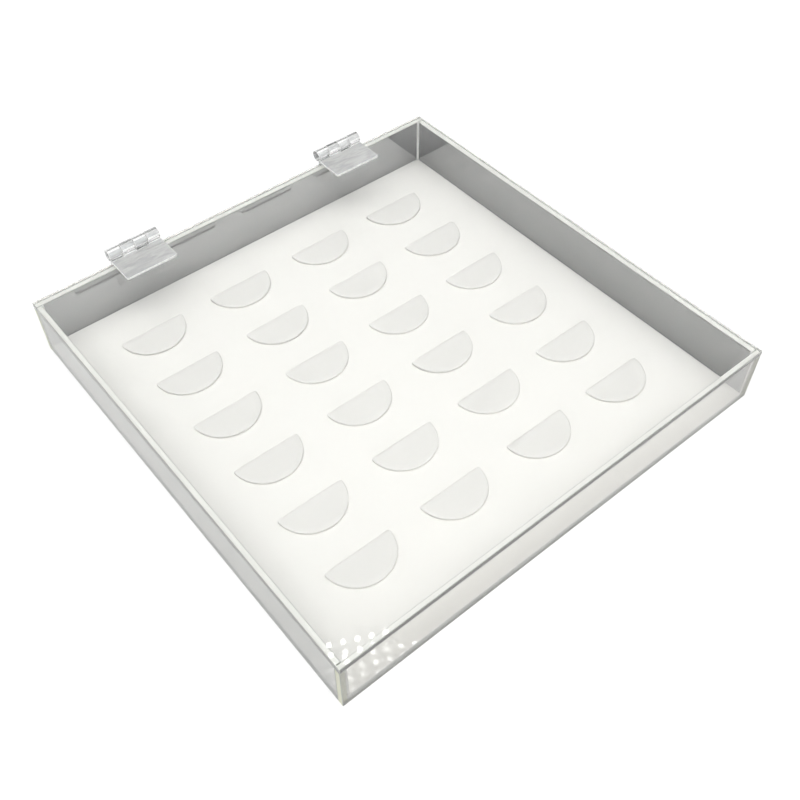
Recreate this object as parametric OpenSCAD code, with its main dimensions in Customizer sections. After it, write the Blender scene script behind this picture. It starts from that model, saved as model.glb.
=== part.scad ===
// A shallow clear sheet box for strip lashes: four walls around a white floor panel, a flat clear lid on two
// pinned butt hinges, and rows of half-moon pads that the lashes are laid on.
// Origin: centre of the box's underside. +Z up, hinges on the +Y side, lid closed.

/* [Box] */
// Outside width of the box, along X
case_w = 240; // [210:1:320]
// Outside depth of the box over its front and back walls, along Y
case_d = 240; // [210:1:320]
// Height of the walls, from the underside to the lid
wall_h = 28; // [22:0.5:50]
// Thickness of the wall sheets
wall_t = 3; // [2:0.5:5]
// Thickness of the white floor panel
floor_t = 3; // [2:0.5:5]
// Thickness of the lid sheet
lid_t = 3; // [2:0.5:5]
// How far the lid's back edge stops short of the back wall's outer face
lid_back_gap = 0.2; // [0.1:0.05:0.5]

/* [Lash pads] */
// Pads in each row, along X
pad_columns = 4; // [1:1:4]
// Rows of pads, along Y
pad_rows = 6; // [1:1:6]
// Radius of a pad's curved side, half the length of its straight side
pad_r = 17; // [14:0.5:18]
// Thickness of a pad
pad_t = 1.5; // [1:0.25:3]
// Clear floor between a side wall and the nearest pad
pad_side_margin = 23.5; // [15:0.5:30]
// Clear floor between the back wall and the first row's straight sides
pad_back_margin = 23.7; // [20:0.1:30]
// Clear floor between the front wall and the last row
pad_front_margin = 27.3; // [20:0.1:30]

/* [Hinges] */
// Distance between the middles of the two hinges, along X
hinge_span = 127; // [60:1:160]
// Length of a hinge along its pin
hinge_w = 28; // [20:1:40]
// Distance from the pin's axis to the free edge of a leaf
leaf_reach = 18.9; // [14:0.1:21]
// Thickness of a leaf
leaf_t = 1.2; // [1:0.1:2]
// Radius of the leaf's free corners
leaf_corner_r = 1.2; // [0.5:0.1:3]
// Diameter of a knuckle
knuckle_d = 6; // [4.5:0.25:7]
// Diameter of the pin
pin_d = 2; // [1.5:0.25:2.5]
// Radial clearance of the pin in the knuckles that turn on it
pin_clearance = 0.05; // [0.02:0.01:0.1]
// Gap between neighbouring knuckles
knuckle_gap = 0.3; // [0.2:0.05:0.5]
// Gap between a knuckle and the edge of the other leaf
leaf_gap = 0.35; // [0.2:0.05:0.6]
// Knuckles along a hinge, shared in turn between its two leaves
knuckles = 4; // [2:1:6]

/* [Hidden] */
$fn = 64;
inner_w = case_w - 2*wall_t;
inner_d = case_d - 2*wall_t;
lid_top = wall_h + lid_t;

// The first pad's centre and the steps between pads
pad_x0 = -inner_w/2 + pad_side_margin + pad_r;
pad_y0 = inner_d/2 - pad_back_margin;
pad_step_x = pad_columns > 1 ? -2*pad_x0/(pad_columns - 1) : 0;
pad_step_y = pad_rows > 1 ? (pad_y0 + inner_d/2 - pad_front_margin - pad_r)/(pad_rows - 1) : 0;

// A knuckle touches both the plane of the lid's top and the plane of the back wall's outer face
knuckle_r = knuckle_d/2;
pin_r = pin_d/2;
pin_y = case_d/2 + knuckle_r;
pin_z = lid_top + knuckle_r;
knuckle_w = (hinge_w - (knuckles - 1)*knuckle_gap)/knuckles;
// From the pin's axis to the near edge of each leaf's plate
plate_edge = knuckle_r + leaf_gap;

acrylic = [0.86, 0.89, 0.88, 0.35];
gloss_white = [0.95, 0.95, 0.94];
clear_pad = [0.9, 0.91, 0.9, 0.6];
clear_moulding = [0.84, 0.86, 0.86, 0.5];
clear_pin = [0.8, 0.82, 0.82, 0.7];

function pad_name(r, c) = str("lash_pad_r", r, "c", c);
function hinge_x(side) = side == "left" ? -hinge_span/2 : hinge_span/2;

// The floor of the box, glued in between the four walls
module base_panel() {
    color(gloss_white) translate([-inner_w/2, -inner_d/2, 0]) cube([inner_w, inner_d, floor_t]);
}

// Front and back walls run the whole width of the box
module long_wall(y) {
    color(acrylic) translate([-case_w/2, y, 0]) cube([case_w, wall_t, wall_h]);
}

// Side walls stand between the front and back walls
module short_wall(x) {
    color(acrylic) translate([x, -inner_d/2, 0]) cube([wall_t, inner_d, wall_h]);
}

module front_wall() long_wall(-case_d/2);
module back_wall() long_wall(inner_d/2);
module left_wall() short_wall(-case_w/2);
module right_wall() short_wall(inner_w/2);

// The flat lid rests on the top edges of all four walls
module lid_panel() {
    color(acrylic) translate([-case_w/2, -case_d/2, wall_h]) cube([case_w, case_d - lid_back_gap, lid_t]);
}

// A half disc that lies on the floor with its straight side towards the hinges
module lash_pad(r, c) {
    color(clear_pad)
        translate([pad_x0 + (c - 1)*pad_step_x, pad_y0 - (r - 1)*pad_step_y, floor_t])
            intersection() {
                cylinder(h = pad_t, r = pad_r, $fn = 96);
                translate([-pad_r, -pad_r, 0]) cube([2*pad_r, pad_r, pad_t]);
            }
}

// Outline of a leaf's plate, in the plane of the leaf: u along the pin, v away from the pin's axis
module plate_outline() {
    translate([0, plate_edge]) square([hinge_w, leaf_reach - leaf_corner_r - plate_edge]);
    translate([leaf_corner_r, leaf_reach - leaf_corner_r])
        square([hinge_w - 2*leaf_corner_r, leaf_corner_r]);
    for (u = [leaf_corner_r, hinge_w - leaf_corner_r])
        translate([u, leaf_reach - leaf_corner_r]) circle(leaf_corner_r);
}

// One leaf with the pin's axis along X through the origin. Its glued face lies a knuckle's radius below the
// axis and the plate reaches towards -Y. Every second knuckle is its own, from first on.
module leaf(first, bore_r) {
    difference() {
        union() {
            translate([0, 0, -knuckle_r]) mirror([0, 1, 0]) linear_extrude(leaf_t) plate_outline();
            for (i = [first:2:knuckles - 1]) translate([i*(knuckle_w + knuckle_gap), 0, 0]) {
                rotate([0, 90, 0]) cylinder(h = knuckle_w, r = knuckle_r);
                translate([0, -plate_edge, -knuckle_r]) cube([knuckle_w, plate_edge, leaf_t]);
            }
        }
        translate([-1, 0, 0]) rotate([0, 90, 0]) cylinder(h = hinge_w + 2, r = bore_r);
    }
}

// Places a hinge's piece at its end of the back edge
module at_hinge(side) {
    translate([hinge_x(side) - hinge_w/2, pin_y, pin_z]) children();
}

// Glued on top of the lid, and turns on the pin
module lid_leaf(side) {
    color(clear_moulding) at_hinge(side) leaf(1, pin_r + pin_clearance);
}

// Glued to the outside of the back wall, and grips the pin
module wall_leaf(side) {
    color(clear_moulding) at_hinge(side) mirror([0, 1, -1]) leaf(0, pin_r);
}

module hinge_pin(side) {
    color(clear_pin) at_hinge(side) rotate([0, 90, 0]) cylinder(h = hinge_w, r = pin_r);
}

base_panel();
front_wall();
back_wall();
left_wall();
right_wall();
lid_panel();
for (side = ["left", "right"]) {
    wall_leaf(side);
    lid_leaf(side);
    hinge_pin(side);
}
for (r = [1:pad_rows], c = [1:pad_columns])
    lash_pad(r, c);
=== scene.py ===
import math

import bmesh
import bpy
from mathutils import Matrix, Vector


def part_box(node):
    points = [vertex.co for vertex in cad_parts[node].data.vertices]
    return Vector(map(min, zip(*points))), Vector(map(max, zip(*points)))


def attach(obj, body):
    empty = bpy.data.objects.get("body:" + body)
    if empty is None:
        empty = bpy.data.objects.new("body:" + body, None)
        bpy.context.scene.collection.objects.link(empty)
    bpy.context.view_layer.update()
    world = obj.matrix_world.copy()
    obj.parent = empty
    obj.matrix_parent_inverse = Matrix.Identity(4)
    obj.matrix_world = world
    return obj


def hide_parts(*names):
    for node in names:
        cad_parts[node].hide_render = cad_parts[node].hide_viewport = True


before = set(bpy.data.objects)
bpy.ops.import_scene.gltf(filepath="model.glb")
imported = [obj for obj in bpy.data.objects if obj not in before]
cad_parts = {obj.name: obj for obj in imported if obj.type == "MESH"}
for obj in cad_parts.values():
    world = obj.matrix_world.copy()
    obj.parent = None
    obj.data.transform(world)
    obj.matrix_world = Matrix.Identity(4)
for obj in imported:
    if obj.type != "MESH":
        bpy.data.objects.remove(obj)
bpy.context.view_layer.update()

# Camera: it looks down on the front left corner of the closed case from about half a metre away.
# Place, turn and lens come from the case's own edges in the photograph.
camera_place = Vector((-0.19704, -0.24814, 0.35266))
camera_turn = math.radians(-39.38)
camera_height_angle = math.radians(49.78)
camera_roll = math.radians(-0.24)
lens_length = 43.84

camera_back = Vector((math.sin(camera_turn) * math.cos(camera_height_angle),
                      -math.cos(camera_turn) * math.cos(camera_height_angle),
                      math.sin(camera_height_angle)))
level_right = (-camera_back).cross(Vector((0, 0, 1))).normalized()
level_up = level_right.cross(-camera_back)
camera_right = math.cos(camera_roll) * level_right + math.sin(camera_roll) * level_up
camera_up = math.cos(camera_roll) * level_up - math.sin(camera_roll) * level_right
lens = bpy.data.cameras.new("camera")
lens.lens = lens_length
lens.sensor_width = 36
lens.clip_start = 0.01
camera = bpy.data.objects.new("camera", lens)
camera.matrix_world = Matrix((
    (camera_right.x, camera_up.x, camera_back.x, camera_place.x),
    (camera_right.y, camera_up.y, camera_back.y, camera_place.y),
    (camera_right.z, camera_up.z, camera_back.z, camera_place.z),
    (0, 0, 0, 1)))
bpy.context.scene.collection.objects.link(camera)
bpy.context.scene.camera = camera
bpy.context.scene.view_settings.view_transform = "Standard"

# Table and light: a matt white table in a white room, lit by its ceiling and by a soft lamp on the camera's side.
# The room is white wherever it is seen, also in the case's clear sheets, but its ceiling is dim on the far side.
table_size = 8
table_drop = 0.0002
table_white = (0.95, 0.95, 0.95, 1)
table_roughness = 0.7
room_level = 0.33
room_seen_level = 1.0
ceiling_near = 1.95
ceiling_far = 0.35
ceiling_overhead = 2.7
ceiling_foot = (0.25, 0.5)
ceiling_middle = (-0.36, -0.06)
ceiling_crown = (0.72, 1)
lamp_level = 0.5
lamp_spread = 26


def seen_directly(tree):
    """1 for what the camera sees, also by reflection or through a clear sheet, and 0 for the light on things."""
    ray = tree.nodes.new("ShaderNodeLightPath")
    first = tree.nodes.new("ShaderNodeMath")
    first.operation = "MAXIMUM"
    tree.links.new(ray.outputs["Is Camera Ray"], first.inputs[0])
    tree.links.new(ray.outputs["Is Glossy Ray"], first.inputs[1])
    second = tree.nodes.new("ShaderNodeMath")
    second.operation = "MAXIMUM"
    tree.links.new(first.outputs[0], second.inputs[0])
    tree.links.new(ray.outputs["Is Transmission Ray"], second.inputs[1])
    return second.outputs[0]


room = bpy.data.worlds.new("white_room")
bpy.context.scene.world = room
room.use_nodes = True
room.node_tree.nodes.clear()
room_light = room.node_tree.nodes.new("ShaderNodeBackground")
direction = room.node_tree.nodes.new("ShaderNodeTexCoord")
nearness = room.node_tree.nodes.new("ShaderNodeVectorMath")
nearness.operation = "DOT_PRODUCT"
nearness.inputs[1].default_value = Vector((camera_back.x, camera_back.y, 0)).normalized()
room.node_tree.links.new(direction.outputs["Generated"], nearness.inputs[0])
height = room.node_tree.nodes.new("ShaderNodeSeparateXYZ")
room.node_tree.links.new(direction.outputs["Generated"], height.inputs[0])


def room_ramp(value, span, low, high):
    """A soft step in the room's brightness, over a span of the value."""
    step = room.node_tree.nodes.new("ShaderNodeMapRange")
    step.interpolation_type = "SMOOTHSTEP"
    step.inputs["From Min"].default_value, step.inputs["From Max"].default_value = span
    step.inputs["To Min"].default_value = low
    step.inputs["To Max"].default_value = high
    room.node_tree.links.new(value, step.inputs["Value"])
    return step.outputs[0]


def room_mix(factor, second, first=None):
    """Goes from the first brightness, or full white, to the second one by a factor."""
    mix = room.node_tree.nodes.new("ShaderNodeMix")
    mix.inputs["A"].default_value = 1
    if first is not None:
        room.node_tree.links.new(first, mix.inputs["A"])
    room.node_tree.links.new(second, mix.inputs["B"])
    room.node_tree.links.new(factor, mix.inputs["Factor"])
    return mix.outputs["Result"]


ceiling_seen = room_ramp(nearness.outputs["Value"], ceiling_middle, ceiling_far, 1)
ceiling_lit = room.node_tree.nodes.new("ShaderNodeMath")
ceiling_lit.operation = "MULTIPLY"
room.node_tree.links.new(room_ramp(nearness.outputs["Value"], ceiling_middle, ceiling_far, ceiling_near),
                         ceiling_lit.inputs[0])
room.node_tree.links.new(room_ramp(height.outputs["Z"], ceiling_crown, 1, ceiling_overhead), ceiling_lit.inputs[1])
room_path = room.node_tree.nodes.new("ShaderNodeLightPath")
ceiling = room_mix(room_path.outputs["Diffuse Depth"], ceiling_lit.outputs[0], ceiling_seen)
room_shade = room_mix(room_ramp(height.outputs["Z"], ceiling_foot, 0, 1), ceiling)
room.node_tree.links.new(room_shade, room_light.inputs["Color"])
room_strength = room.node_tree.nodes.new("ShaderNodeMapRange")
room_strength.inputs["To Min"].default_value = room_level
room_strength.inputs["To Max"].default_value = room_seen_level
room.node_tree.links.new(seen_directly(room.node_tree), room_strength.inputs["Value"])
room.node_tree.links.new(room_strength.outputs[0], room_light.inputs["Strength"])
room_out = room.node_tree.nodes.new("ShaderNodeOutputWorld")
room.node_tree.links.new(room_light.outputs[0], room_out.inputs["Surface"])

lamp_data = bpy.data.lights.new("soft_lamp", "SUN")
lamp_data.angle = math.radians(lamp_spread)
lamp_data.energy = lamp_level * math.pi / camera_back.z
lamp = bpy.data.objects.new("soft_lamp", lamp_data)
lamp.location = camera_back
lamp.rotation_euler = camera_back.to_track_quat("Z", "Y").to_euler()
lamp.visible_transmission = False
lamp.visible_glossy = False
bpy.context.scene.collection.objects.link(lamp)

# The ceiling lamp: rows of small bright lights, seen only as reflections, from this camera in the front corner.
# It lights nothing and casts no shadow.
ceiling_lamp_place = Vector((0.189, 0.302, 1.1))
ceiling_lamp_turn = math.radians(-26.1)
ceiling_lamp_column_step = 0.0226
ceiling_lamp_row_step = 0.0174
ceiling_lamp_columns = 8
ceiling_lamp_rows = 4
ceiling_lamp_radius = 0.0042
ceiling_lamp_corners = 12
ceiling_lamp_strength = 10
ceiling_lamp_bm = bmesh.new()
for row in range(ceiling_lamp_rows):
    for column in range(ceiling_lamp_columns):
        away = Vector(((column - (ceiling_lamp_columns - 1) / 2) * ceiling_lamp_column_step,
                       (row - (ceiling_lamp_rows - 1) / 2) * ceiling_lamp_row_step, 0))
        middle = ceiling_lamp_place + Matrix.Rotation(ceiling_lamp_turn, 3, "Z") @ away
        bmesh.ops.create_circle(ceiling_lamp_bm, cap_ends=True, segments=ceiling_lamp_corners,
                                radius=ceiling_lamp_radius, matrix=Matrix.Translation(middle))
ceiling_lamp_mesh = bpy.data.meshes.new("ceiling_lamp")
ceiling_lamp_bm.to_mesh(ceiling_lamp_mesh)
ceiling_lamp_bm.free()
ceiling_lamp = bpy.data.objects.new("ceiling_lamp", ceiling_lamp_mesh)
ceiling_lamp.visible_camera = False
ceiling_lamp.visible_diffuse = False
ceiling_lamp.visible_shadow = False
bpy.context.scene.collection.objects.link(ceiling_lamp)
glow = bpy.data.materials.new("ceiling_lamp_glow")
glow.use_nodes = True
glow.cycles.emission_sampling = "NONE"
glow.node_tree.nodes.clear()
glow_light = glow.node_tree.nodes.new("ShaderNodeEmission")
glow_ray = glow.node_tree.nodes.new("ShaderNodeLightPath")
glow_strength = glow.node_tree.nodes.new("ShaderNodeMapRange")
glow_strength.inputs["To Min"].default_value = ceiling_lamp_strength
glow_strength.inputs["To Max"].default_value = 0
glow.node_tree.links.new(glow_ray.outputs["Diffuse Depth"], glow_strength.inputs["Value"])
glow.node_tree.links.new(glow_strength.outputs[0], glow_light.inputs["Strength"])
glow_out = glow.node_tree.nodes.new("ShaderNodeOutputMaterial")
glow.node_tree.links.new(glow_light.outputs[0], glow_out.inputs["Surface"])
ceiling_lamp_mesh.materials.append(glow)

table_mesh = bpy.data.meshes.new("table")
table_bm = bmesh.new()
bmesh.ops.create_grid(table_bm, x_segments=1, y_segments=1, size=table_size / 2,
                      matrix=Matrix.Translation((0, 0, -table_drop)))
table_bm.to_mesh(table_mesh)
table_bm.free()
table = bpy.data.objects.new("table", table_mesh)
bpy.context.scene.collection.objects.link(table)
table_paint = bpy.data.materials.new("table_paint")
table_paint.use_nodes = True
table_shader = table_paint.node_tree.nodes["Principled BSDF"]
table_shader.inputs["Base Color"].default_value = table_white
table_shader.inputs["Roughness"].default_value = table_roughness
table_shader.inputs["Specular IOR Level"].default_value = 0
table_mesh.materials.append(table_paint)

# White floor panel: one glossy white acrylic sheet, 3 mm thick, glued in between the four walls.
# Its edges are sawn and lightly broken, and its face has the faint mottle of handled gloss plastic.
sheet_gap = 0.00003
edge_break = 0.00025
panel_white = (0.955, 0.942, 0.912, 1)
panel_white_worn = (0.94, 0.927, 0.895, 1)
panel_ior = 1.6
panel_mirror_level = 0.95
panel_mottle_scale = 35
panel_rub_scale = 90
panel_roughness = (0.01, 0.04)
panel_wave_scale = 40
panel_wave_depth = 0.00001
sawn_pale = (0.9, 0.9, 0.9, 1)
sawn_shaded = (0.82, 0.84, 0.87, 1)
sawn_tone_scale = 700
sawn_rub_scale = 1500
sawn_roughness = (0.4, 0.7)
saw_mark_scale = 1800
saw_mark_depth = 0.00003


def noise_into(tree, scale, detail, roughness=0.5):
    """Noise in the object's own coordinates, as a value from 0 to 1."""
    place = tree.nodes.new("ShaderNodeTexCoord")
    noise = tree.nodes.new("ShaderNodeTexNoise")
    noise.inputs["Scale"].default_value = scale
    noise.inputs["Detail"].default_value = detail
    noise.inputs["Roughness"].default_value = roughness
    tree.links.new(place.outputs["Object"], noise.inputs["Vector"])
    return noise.outputs["Fac"]


def spread(tree, value, low, high, start=0.35, stop=0.65):
    """Turns a noise value into a range of a socket's numbers."""
    ramp = tree.nodes.new("ShaderNodeMapRange")
    ramp.inputs["From Min"].default_value = start
    ramp.inputs["From Max"].default_value = stop
    ramp.inputs["To Min"].default_value = low
    ramp.inputs["To Max"].default_value = high
    tree.links.new(value, ramp.inputs["Value"])
    return ramp.outputs[0]


def two_tones(tree, value, first, second):
    """Mixes two colours by a value."""
    mix = tree.nodes.new("ShaderNodeMix")
    mix.data_type = "RGBA"
    for colour, socket in zip((first, second), [s for s in mix.inputs if s.type == "RGBA"]):
        socket.default_value = colour
    tree.links.new(value, mix.inputs[0])
    return [s for s in mix.outputs if s.type == "RGBA"][0]


def relief(tree, value, depth):
    """A bump of a given depth in metres."""
    bump = tree.nodes.new("ShaderNodeBump")
    bump.inputs["Strength"].default_value = 1
    bump.inputs["Distance"].default_value = depth
    tree.links.new(value, bump.inputs["Height"])
    return bump.outputs[0]


def sheet(name, low, high, across_x, across_y, top, underside, arris):
    """A flat sheet with broken edges. Its finishes are in slots 0 to 4, in the order in which they are given."""
    bm = bmesh.new()
    middle = [(a + b) / 2 for a, b in zip(low, high)]
    size = [b - a for a, b in zip(low, high)]
    bmesh.ops.create_cube(bm, size=1, matrix=Matrix.Translation(middle) @ Matrix.Diagonal((*size, 1)))
    for face in bm.faces:
        face.material_index = 3 if face.normal.z < -0.5 else [abs(n) > 0.5 for n in face.normal].index(True)
    bmesh.ops.bevel(bm, geom=bm.edges[:], offset=edge_break, segments=1, affect="EDGES", material=4)
    bmesh.ops.recalc_face_normals(bm, faces=bm.faces)
    mesh = bpy.data.meshes.new(name)
    bm.to_mesh(mesh)
    bm.free()
    for finish in (across_x, across_y, top, underside, arris):
        mesh.materials.append(finish)
    piece = bpy.data.objects.new(name, mesh)
    bpy.context.scene.collection.objects.link(piece)
    return piece


gloss_white = bpy.data.materials.new("gloss_white_acrylic")
gloss_white.use_nodes = True
gloss_white_tree = gloss_white.node_tree
gloss_white_shader = gloss_white_tree.nodes["Principled BSDF"]
gloss_white_shader.inputs["IOR"].default_value = panel_ior
gloss_white_shader.inputs["Specular IOR Level"].default_value = panel_mirror_level
gloss_white_mottle = noise_into(gloss_white_tree, panel_mottle_scale, 4)
gloss_white_tree.links.new(two_tones(gloss_white_tree, gloss_white_mottle, panel_white, panel_white_worn),
                           gloss_white_shader.inputs["Base Color"])
gloss_white_rub = noise_into(gloss_white_tree, panel_rub_scale, 5)
gloss_white_tree.links.new(spread(gloss_white_tree, gloss_white_rub, *panel_roughness),
                           gloss_white_shader.inputs["Roughness"])
gloss_white_waves = noise_into(gloss_white_tree, panel_wave_scale, 2)
gloss_white_tree.links.new(relief(gloss_white_tree, gloss_white_waves, panel_wave_depth),
                           gloss_white_shader.inputs["Normal"])

sawn_white = bpy.data.materials.new("sawn_white_edge")
sawn_white.use_nodes = True
sawn_white_tree = sawn_white.node_tree
sawn_white_shader = sawn_white_tree.nodes["Principled BSDF"]
sawn_white_tree.links.new(two_tones(sawn_white_tree, noise_into(sawn_white_tree, sawn_tone_scale, 3),
                                    sawn_pale, sawn_shaded),
                          sawn_white_shader.inputs["Base Color"])
sawn_white_tree.links.new(spread(sawn_white_tree, noise_into(sawn_white_tree, sawn_rub_scale, 2), *sawn_roughness),
                          sawn_white_shader.inputs["Roughness"])
sawn_white_tree.links.new(relief(sawn_white_tree, noise_into(sawn_white_tree, saw_mark_scale, 2), saw_mark_depth),
                          sawn_white_shader.inputs["Normal"])

panel_low, panel_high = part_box("base_panel")
panel_gap = Vector((sheet_gap, sheet_gap, 0))
panel = sheet("white_floor_panel", panel_low + panel_gap, panel_high - panel_gap,
              sawn_white, sawn_white, gloss_white, gloss_white, sawn_white)
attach(panel, "case")
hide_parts("base_panel")

# Walls: four strips of clear acrylic sheet, 3 mm thick and 28 mm high, butted at the corners, where thin milky
# beads of glue have set. The faces are polished, and more mirror-like on the back and right walls.
# Each wall's see-through colour is painted shade, darkest on the back and right walls, less on the left, least on the
# front.
# The cut edges are slightly rough, so they look paler, with the sheet's green colour.
# Painted shade: these per-wall colours darken what is seen through each wall, though all four are the same clear
# sheet.
hinge_wall_painted_shade = (0.2, 0.203, 0.207, 1)
right_wall_painted_shade = (0.12, 0.122, 0.125, 1)
front_wall_painted_shade = (0.79, 0.785, 0.76, 1)
left_wall_painted_shade = (0.5, 0.505, 0.49, 1)
rim_tint = (0.935, 0.93, 0.9, 1)
rim_tint_dull = (0.9, 0.9, 0.86, 1)
end_tint = (0.62, 0.63, 0.46, 1)
end_tint_pale = (0.72, 0.73, 0.58, 1)
# Painted shade: the broken edges and the underside are grey, for the dark lines along the clear sheets' edges.
arris_painted_shade = (0.36, 0.37, 0.34, 1)
arris_painted_shade_pale = (0.55, 0.56, 0.53, 1)
underside_painted_shade = (0.38, 0.39, 0.36, 1)
underside_painted_shade_dark = (0.28, 0.29, 0.26, 1)
glue_milky = (0.93, 0.93, 0.92, 1)
glue_pale = (0.85, 0.86, 0.85, 1)
glue_width = 0.0009
acrylic_ior = 1.49
plain_gloss = 1.0
hinge_wall_gloss = 3.6
right_wall_gloss = 2.9
coat_roughness = 0.02
face_rub_scale = 45
face_roughness = (0.0, 0.03)
face_wave_scale = 12
face_wave_depth = 0.000003
cut_tone_scale = 120
cut_rub_scale = 900
cut_mark_scale = 1400
cut_mark_depth = 0.000001


def polished_acrylic(name, tint_and_painted_shade, mirror_level, gloss_ior):
    """Polished clear sheet with faint waves and rubbed patches. A gloss above 1 adds a mirror-like coat. On the walls
    its colour is painted shade.
    """
    material = bpy.data.materials.new(name)
    material.use_nodes = True
    tree = material.node_tree
    shader = tree.nodes["Principled BSDF"]
    shader.inputs["Base Color"].default_value = tint_and_painted_shade
    shader.inputs["Transmission Weight"].default_value = 1
    shader.inputs["IOR"].default_value = acrylic_ior
    shader.inputs["Specular IOR Level"].default_value = mirror_level
    shader.inputs["Coat Weight"].default_value = 1 if gloss_ior > plain_gloss else 0
    shader.inputs["Coat IOR"].default_value = gloss_ior
    shader.inputs["Coat Roughness"].default_value = coat_roughness
    tree.links.new(spread(tree, noise_into(tree, face_rub_scale, 6, 0.7), *face_roughness), shader.inputs["Roughness"])
    tree.links.new(relief(tree, noise_into(tree, face_wave_scale, 1), face_wave_depth), shader.inputs["Normal"])
    return material


# The four wall faces carry painted shade in their colours.
hinge_wall_painted_shade_face = polished_acrylic("hinge_wall_acrylic_painted_shade", hinge_wall_painted_shade, 1.0, hinge_wall_gloss)
right_wall_painted_shade_face = polished_acrylic("right_wall_acrylic_painted_shade", right_wall_painted_shade, 1.0, right_wall_gloss)
front_wall_painted_shade_face = polished_acrylic("front_wall_acrylic_painted_shade", front_wall_painted_shade, 0.4, plain_gloss)
left_wall_painted_shade_face = polished_acrylic("left_wall_acrylic_painted_shade", left_wall_painted_shade, 0.4, plain_gloss)


def cut_acrylic(name, tint_and_painted_shade, other_tint_and_painted_shade, clearness, smoothest, roughest):
    """A sawn and scraped edge of clear sheet, with the saw's fine marks: mostly paler than the faces, but on the
    underside and broken edges of the clear sheets its grey is painted shade.
    """
    material = bpy.data.materials.new(name)
    material.use_nodes = True
    tree = material.node_tree
    shader = tree.nodes["Principled BSDF"]
    shader.inputs["Transmission Weight"].default_value = clearness
    shader.inputs["IOR"].default_value = acrylic_ior
    tree.links.new(two_tones(tree, noise_into(tree, cut_tone_scale, 3), tint_and_painted_shade, other_tint_and_painted_shade), shader.inputs["Base Color"])
    tree.links.new(spread(tree, noise_into(tree, cut_rub_scale, 3), smoothest, roughest), shader.inputs["Roughness"])
    tree.links.new(relief(tree, noise_into(tree, cut_mark_scale, 2), cut_mark_depth), shader.inputs["Normal"])
    return material


rim = cut_acrylic("acrylic_rim", rim_tint, rim_tint_dull, 0.1, 0.35, 0.5)
glued_end = cut_acrylic("acrylic_glued_end", end_tint, end_tint_pale, 0.25, 0.3, 0.45)
# Painted shade: the grey underside and broken-edge finishes stand in for the dark lines at the sheets' edges.
underside = cut_acrylic("acrylic_underside_painted_shade", underside_painted_shade, underside_painted_shade_dark, 0.3, 0.3, 0.5)
arris = cut_acrylic("acrylic_arris_painted_shade", arris_painted_shade, arris_painted_shade_pale, 0.4, 0.3, 0.5)
glue = cut_acrylic("corner_glue", glue_milky, glue_pale, 0.1, 0.2, 0.4)


def add_glue_beads(wall, low, high):
    """A three-sided bead of set glue in the inner corner at each end of a side wall, in the wall's next free slot."""
    bm = bmesh.new()
    bm.from_mesh(wall.data)
    inward = 1 if low.x < 0 else -1
    corner_x = (high.x if low.x < 0 else low.x) + inward * sheet_gap
    for end, along in ((low.y, 1), (high.y, -1)):
        corner_y = end + along * sheet_gap
        outline = ((corner_x, corner_y), (corner_x + inward * glue_width, corner_y),
                   (corner_x, corner_y + along * glue_width))
        foot, head = [[bm.verts.new((x, y, z)) for x, y in outline]
                      for z in (panel_high.z + sheet_gap, high.z - 2 * sheet_gap)]
        bead = [bm.faces.new(foot), bm.faces.new(head)]
        for i in range(3):
            j = (i + 1) % 3
            bead.append(bm.faces.new((foot[i], foot[j], head[j], head[i])))
        for face in bead:
            face.material_index = len(wall.data.materials)
        bmesh.ops.recalc_face_normals(bm, faces=bead)
    bm.to_mesh(wall.data)
    bm.free()
    wall.data.materials.append(glue)


for node, thin, wall_painted_shade_face in (("front_wall", 1, front_wall_painted_shade_face), ("back_wall", 1, hinge_wall_painted_shade_face),
                              ("left_wall", 0, left_wall_painted_shade_face), ("right_wall", 0, right_wall_painted_shade_face)):
    wall_low, wall_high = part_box(node)
    ends = Vector((0, 0, 0)) if thin == 1 else Vector((0, sheet_gap, 0))
    wall = sheet("clear_" + node, wall_low + ends, wall_high - ends - Vector((0, 0, sheet_gap)),
                 wall_painted_shade_face if thin == 0 else glued_end, wall_painted_shade_face if thin == 1 else glued_end, rim, underside, arris)
    if thin == 0:
        add_glue_beads(wall, wall_low, wall_high)
    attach(wall, "case")
    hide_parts(node)

# Lid: one flat sheet of clear acrylic, 3 mm thick, that lies loose on the walls' top edges.
# Only the two hinges hold it. It is the same sheet as the walls, but nothing dark is seen through it.
lid_tint = (0.985, 0.99, 0.985, 1)
lid_face = polished_acrylic("lid_acrylic_face", lid_tint, 0.2, plain_gloss)
lid_low, lid_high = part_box("lid_panel")
lid_edge = cut_acrylic("lid_edge", rim_tint, rim_tint_dull, 0.88, 0.05, 0.15)
lid = sheet("clear_lid", lid_low, lid_high, lid_edge, lid_edge, lid_face, lid_face, arris)
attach(lid, "lid")
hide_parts("lid_panel")

# Lash pads: 24 half-moons of frosted clear silicone, 34 mm long and 1.5 mm thick, stuck to the floor panel.
# Each is moulded, with a rounded rim and a faint step about 2 mm inside it. Straight sides face the hinges.
pad_columns = 4
pad_rows = 6
pad_radius = 0.017
pad_tip_radius = 0.001
pad_arc_steps = 40
pad_tip_steps = 5
pad_profile = ((0.0004, 0.00002), (0.00005, 0.00035), (0.0, 0.0005), (0.0, 0.0011), (0.0001, 0.00128),
               (0.0003, 0.00138), (0.0008, 0.00142), (0.0020, 0.00145), (0.0023, 0.00149), (0.0026, 0.0015))
pad_clear = (0.94, 0.928, 0.9, 1)
pad_milky = (0.92, 0.908, 0.88, 1)
silicone_clearness = 0.15
silicone_ior = 1.41
silicone_cloud_scale = 60
silicone_frost_scale = 400
silicone_roughness = (0.3, 0.5)
silicone_grain_scale = 900
silicone_grain_depth = 0.00002


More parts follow.
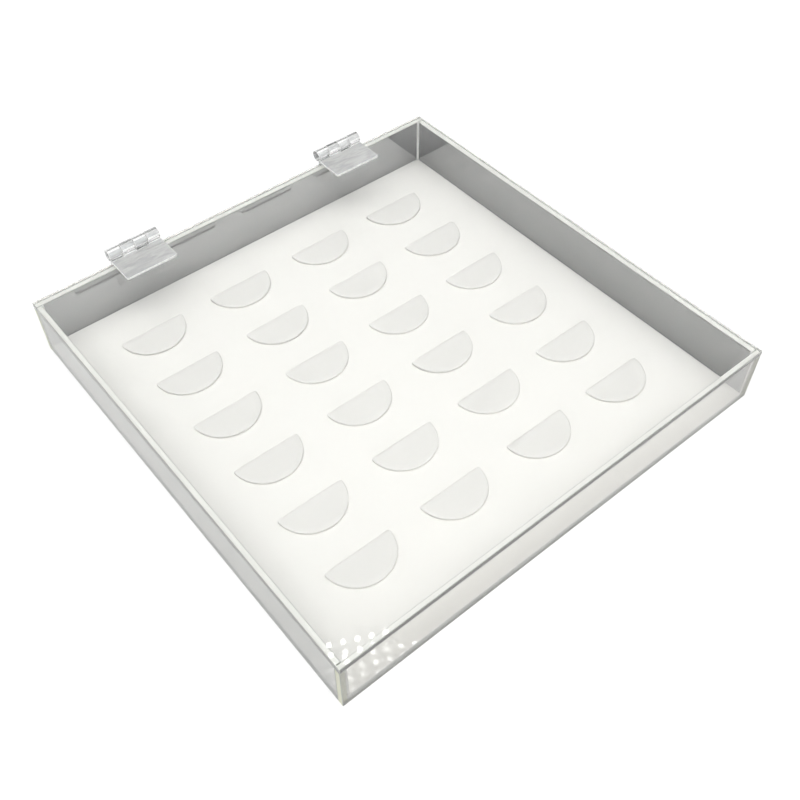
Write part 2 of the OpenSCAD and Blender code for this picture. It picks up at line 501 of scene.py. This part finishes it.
def half_moon(inset):
    """Outline of a pad, drawn in by inset all round, from one end of the straight side to the other."""
    radius = pad_radius - inset
    tip = pad_tip_radius
    across = math.sqrt((radius - tip) ** 2 - (inset + tip) ** 2)
    turn = math.atan2(-(inset + tip), across)
    points = []
    for step in range(pad_tip_steps + 1):
        angle = math.pi / 2 + (turn - math.pi / 2) * step / pad_tip_steps
        points.append((across + tip * math.cos(angle), -(inset + tip) + tip * math.sin(angle)))
    for step in range(1, pad_arc_steps):
        angle = turn + (-math.pi - 2 * turn) * step / pad_arc_steps
        points.append((radius * math.cos(angle), radius * math.sin(angle)))
    return points + [(-x, y) for x, y in reversed(points[:pad_tip_steps + 1])]


pad_bm = bmesh.new()
pad_rings = [[pad_bm.verts.new((x, y, height)) for x, y in half_moon(inset)] for inset, height in pad_profile]
for lower, upper in zip(pad_rings, pad_rings[1:]):
    for i in range(len(lower)):
        j = (i + 1) % len(lower)
        pad_bm.faces.new((lower[i], lower[j], upper[j], upper[i]))
pad_bm.faces.new(pad_rings[0])
pad_bm.faces.new(pad_rings[-1])
bmesh.ops.recalc_face_normals(pad_bm, faces=pad_bm.faces)
for face in pad_bm.faces:
    face.smooth = len(face.verts) == 4
pad_mesh = bpy.data.meshes.new("one_lash_pad")
pad_bm.to_mesh(pad_mesh)
pad_bm.free()

silicone = bpy.data.materials.new("frosted_silicone")
silicone.use_nodes = True
silicone_tree = silicone.node_tree
silicone_shader = silicone_tree.nodes["Principled BSDF"]
silicone_shader.inputs["Transmission Weight"].default_value = silicone_clearness
silicone_shader.inputs["IOR"].default_value = silicone_ior
silicone_cloud = noise_into(silicone_tree, silicone_cloud_scale, 3)
silicone_tree.links.new(two_tones(silicone_tree, silicone_cloud, pad_clear, pad_milky),
                        silicone_shader.inputs["Base Color"])
silicone_frost = noise_into(silicone_tree, silicone_frost_scale, 4)
silicone_tree.links.new(spread(silicone_tree, silicone_frost, *silicone_roughness),
                        silicone_shader.inputs["Roughness"])
silicone_grain = noise_into(silicone_tree, silicone_grain_scale, 3)
silicone_tree.links.new(relief(silicone_tree, silicone_grain, silicone_grain_depth), silicone_shader.inputs["Normal"])

first_pad_low, first_pad_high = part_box("lash_pad_r1c1")
last_pad_low, last_pad_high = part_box("lash_pad_r6c4")
pad_layout = bpy.data.node_groups.new("lay_out_pads", "GeometryNodeTree")
for socket_name, kind in (("Pad", "NodeSocketGeometry"), ("Columns", "NodeSocketInt"), ("Rows", "NodeSocketInt"),
                          ("Row length", "NodeSocketFloat"), ("Column length", "NodeSocketFloat"),
                          ("Middle", "NodeSocketVector"), ("Material", "NodeSocketMaterial")):
    pad_layout.interface.new_socket(socket_name, in_out="INPUT", socket_type=kind)
pad_layout.interface.new_socket("Pads", in_out="OUTPUT", socket_type="NodeSocketGeometry")
layout_in = pad_layout.nodes.new("NodeGroupInput")
layout_grid = pad_layout.nodes.new("GeometryNodeMeshGrid")
layout_move = pad_layout.nodes.new("GeometryNodeTransform")
layout_place = pad_layout.nodes.new("GeometryNodeInstanceOnPoints")
layout_real = pad_layout.nodes.new("GeometryNodeRealizeInstances")
layout_material = pad_layout.nodes.new("GeometryNodeSetMaterial")
layout_out = pad_layout.nodes.new("NodeGroupOutput")
for source, target in (
        (layout_in.outputs["Row length"], layout_grid.inputs["Size X"]),
        (layout_in.outputs["Column length"], layout_grid.inputs["Size Y"]),
        (layout_in.outputs["Columns"], layout_grid.inputs["Vertices X"]),
        (layout_in.outputs["Rows"], layout_grid.inputs["Vertices Y"]),
        (layout_grid.outputs["Mesh"], layout_move.inputs["Geometry"]),
        (layout_in.outputs["Middle"], layout_move.inputs["Translation"]),
        (layout_move.outputs["Geometry"], layout_place.inputs["Points"]),
        (layout_in.outputs["Pad"], layout_place.inputs["Instance"]),
        (layout_place.outputs["Instances"], layout_real.inputs["Geometry"]),
        (layout_real.outputs["Geometry"], layout_material.inputs["Geometry"]),
        (layout_in.outputs["Material"], layout_material.inputs["Material"]),
        (layout_material.outputs["Geometry"], layout_out.inputs["Pads"])):
    pad_layout.links.new(source, target)

pad_maker = bpy.data.objects.new("pad_maker", pad_mesh)
bpy.context.scene.collection.objects.link(pad_maker)
layout = pad_maker.modifiers.new("layout", "NODES")
layout.node_group = pad_layout
layout_values = {
    "Columns": pad_columns, "Rows": pad_rows,
    "Row length": last_pad_low.x - first_pad_low.x, "Column length": first_pad_high.y - last_pad_high.y,
    "Middle": ((first_pad_low.x + last_pad_high.x) / 2, (first_pad_high.y + last_pad_high.y) / 2, first_pad_low.z),
    "Material": silicone}
for socket in pad_layout.interface.items_tree:
    if socket.in_out == "INPUT" and socket.name in layout_values:
        layout[socket.identifier] = layout_values[socket.name]
pad_maker.update_tag()
bpy.context.view_layer.update()
laid_out = pad_maker.evaluated_get(bpy.context.evaluated_depsgraph_get())
pads_mesh = bpy.data.meshes.new_from_object(laid_out)
pads_mesh.name = "lash_pads"
bpy.data.objects.remove(pad_maker)
pads = bpy.data.objects.new("lash_pads", pads_mesh)
bpy.context.scene.collection.objects.link(pads)
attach(pads, "case")
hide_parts(*["lash_pad_r%dc%d" % (r, c) for r in range(1, pad_rows + 1) for c in range(1, pad_columns + 1)])

# Hinges: two small butt hinges moulded in clear plastic, 28 mm long, each with two leaves and a clear pin.
# One leaf is glued on the lid and one on the back wall. Edges are softly rounded and the gloss is uneven.
leaf_rounding = 0.00025
moulding_tint = (0.99, 0.99, 0.985, 1)
moulding_tint_dull = (0.78, 0.79, 0.79, 1)
pin_tint = (0.85, 0.87, 0.87, 1)
milky_tint = (0.98, 0.98, 0.97, 1)
milky_tint_dull = (0.93, 0.935, 0.93, 1)
knuckle_tint = (0.96, 0.965, 0.96, 1)
knuckle_tint_dull = (0.9, 0.91, 0.91, 1)
moulding_clearness = 0.62
moulding_ior = 1.55
moulding_rub_scale = 300
moulding_roughness = (0.03, 0.16)
smear_stretch = (90, 420, 420)
smear_detail = 3
smear_distortion = 0.8
smear_depth = 0.0006
pin_rub_scale = 500
pin_roughness = (0.05, 0.2)
pin_grain_scale = 700
pin_grain_depth = 0.00002
knuckle_reach = 0.0033
same_point = 0.000001
flat_angle = math.radians(1)
sharp_angle = math.radians(40)

moulded_rim = cut_acrylic("hinge_moulding_rim", milky_tint, milky_tint_dull, 0.15, 0.2, 0.35)
knuckle_plastic = cut_acrylic("hinge_knuckle", knuckle_tint, knuckle_tint_dull, 0.95, 0.02, 0.1)
moulded = bpy.data.materials.new("hinge_moulding")
moulded.use_nodes = True
moulded_tree = moulded.node_tree
moulded_shader = moulded_tree.nodes["Principled BSDF"]
moulded_place = moulded_tree.nodes.new("ShaderNodeTexCoord")
moulded_stretch = moulded_tree.nodes.new("ShaderNodeMapping")
moulded_stretch.inputs["Scale"].default_value = smear_stretch
moulded_tree.links.new(moulded_place.outputs["Object"], moulded_stretch.inputs["Vector"])
glue_smears = moulded_tree.nodes.new("ShaderNodeTexNoise")
glue_smears.inputs["Scale"].default_value = 1
glue_smears.inputs["Detail"].default_value = smear_detail
glue_smears.inputs["Distortion"].default_value = smear_distortion
moulded_tree.links.new(moulded_stretch.outputs[0], glue_smears.inputs["Vector"])
moulded_tree.links.new(two_tones(moulded_tree, spread(moulded_tree, glue_smears.outputs["Fac"], 0, 1, 0.42, 0.58),
                                 moulding_tint, moulding_tint_dull),
                       moulded_shader.inputs["Base Color"])
moulded_shader.inputs["Transmission Weight"].default_value = moulding_clearness
moulded_shader.inputs["IOR"].default_value = moulding_ior
moulded_tree.links.new(spread(moulded_tree, noise_into(moulded_tree, moulding_rub_scale, 4), *moulding_roughness),
                       moulded_shader.inputs["Roughness"])
moulded_tree.links.new(relief(moulded_tree, glue_smears.outputs["Fac"], smear_depth),
                       moulded_shader.inputs["Normal"])

pin_plastic = bpy.data.materials.new("hinge_pin_plastic")
pin_plastic.use_nodes = True
pin_tree = pin_plastic.node_tree
pin_shader = pin_tree.nodes["Principled BSDF"]
pin_shader.inputs["Base Color"].default_value = pin_tint
pin_shader.inputs["Transmission Weight"].default_value = 1
pin_shader.inputs["IOR"].default_value = acrylic_ior
pin_rub = noise_into(pin_tree, pin_rub_scale, 3)
pin_tree.links.new(spread(pin_tree, pin_rub, *pin_roughness), pin_shader.inputs["Roughness"])
pin_grain = noise_into(pin_tree, pin_grain_scale, 2)
pin_tree.links.new(relief(pin_tree, pin_grain, pin_grain_depth), pin_shader.inputs["Normal"])

pin_low, pin_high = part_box("left_hinge_pin")
pin_middle = (pin_low + pin_high) / 2


def moulded_leaf(node, glued_axis):
    """A leaf with softly rounded edges, a hair off the sheet that it is glued to."""
    bm = bmesh.new()
    bm.from_mesh(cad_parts[node].data)
    bmesh.ops.remove_doubles(bm, verts=bm.verts, dist=same_point)
    bmesh.ops.dissolve_limit(bm, angle_limit=flat_angle, verts=bm.verts, edges=bm.edges)
    for face in bm.faces:
        nearest = min(abs(v.co.y - pin_middle.y) + abs(v.co.z - pin_middle.z) for v in face.verts)
        if nearest <= knuckle_reach:
            face.material_index = 2
        else:
            face.material_index = 0 if abs(face.normal[glued_axis]) > 0.5 else 1
    sharp = [e for e in bm.edges if len(e.link_faces) == 2 and e.calc_face_angle(0) > sharp_angle]
    bmesh.ops.bevel(bm, geom=sharp, offset=leaf_rounding, segments=2, profile=0.5, affect="EDGES",
                    clamp_overlap=True, material=1)
    lowest = min(v.co[glued_axis] for v in bm.verts)
    for v in bm.verts:
        if v.co[glued_axis] < lowest + same_point:
            v.co[glued_axis] += sheet_gap
    mesh = bpy.data.meshes.new(node + "_moulding")
    bm.to_mesh(mesh)
    bm.free()
    for finish in (moulded, moulded_rim, knuckle_plastic):
        mesh.materials.append(finish)
    piece = bpy.data.objects.new(node + "_moulding", mesh)
    bpy.context.scene.collection.objects.link(piece)
    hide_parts(node)
    return piece


for side in ("left", "right"):
    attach(moulded_leaf(side + "_lid_leaf", 2), "lid")
    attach(moulded_leaf(side + "_wall_leaf", 1), "case")
    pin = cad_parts[side + "_hinge_pin"]
    pin.data.materials.clear()
    pin.data.materials.append(pin_plastic)
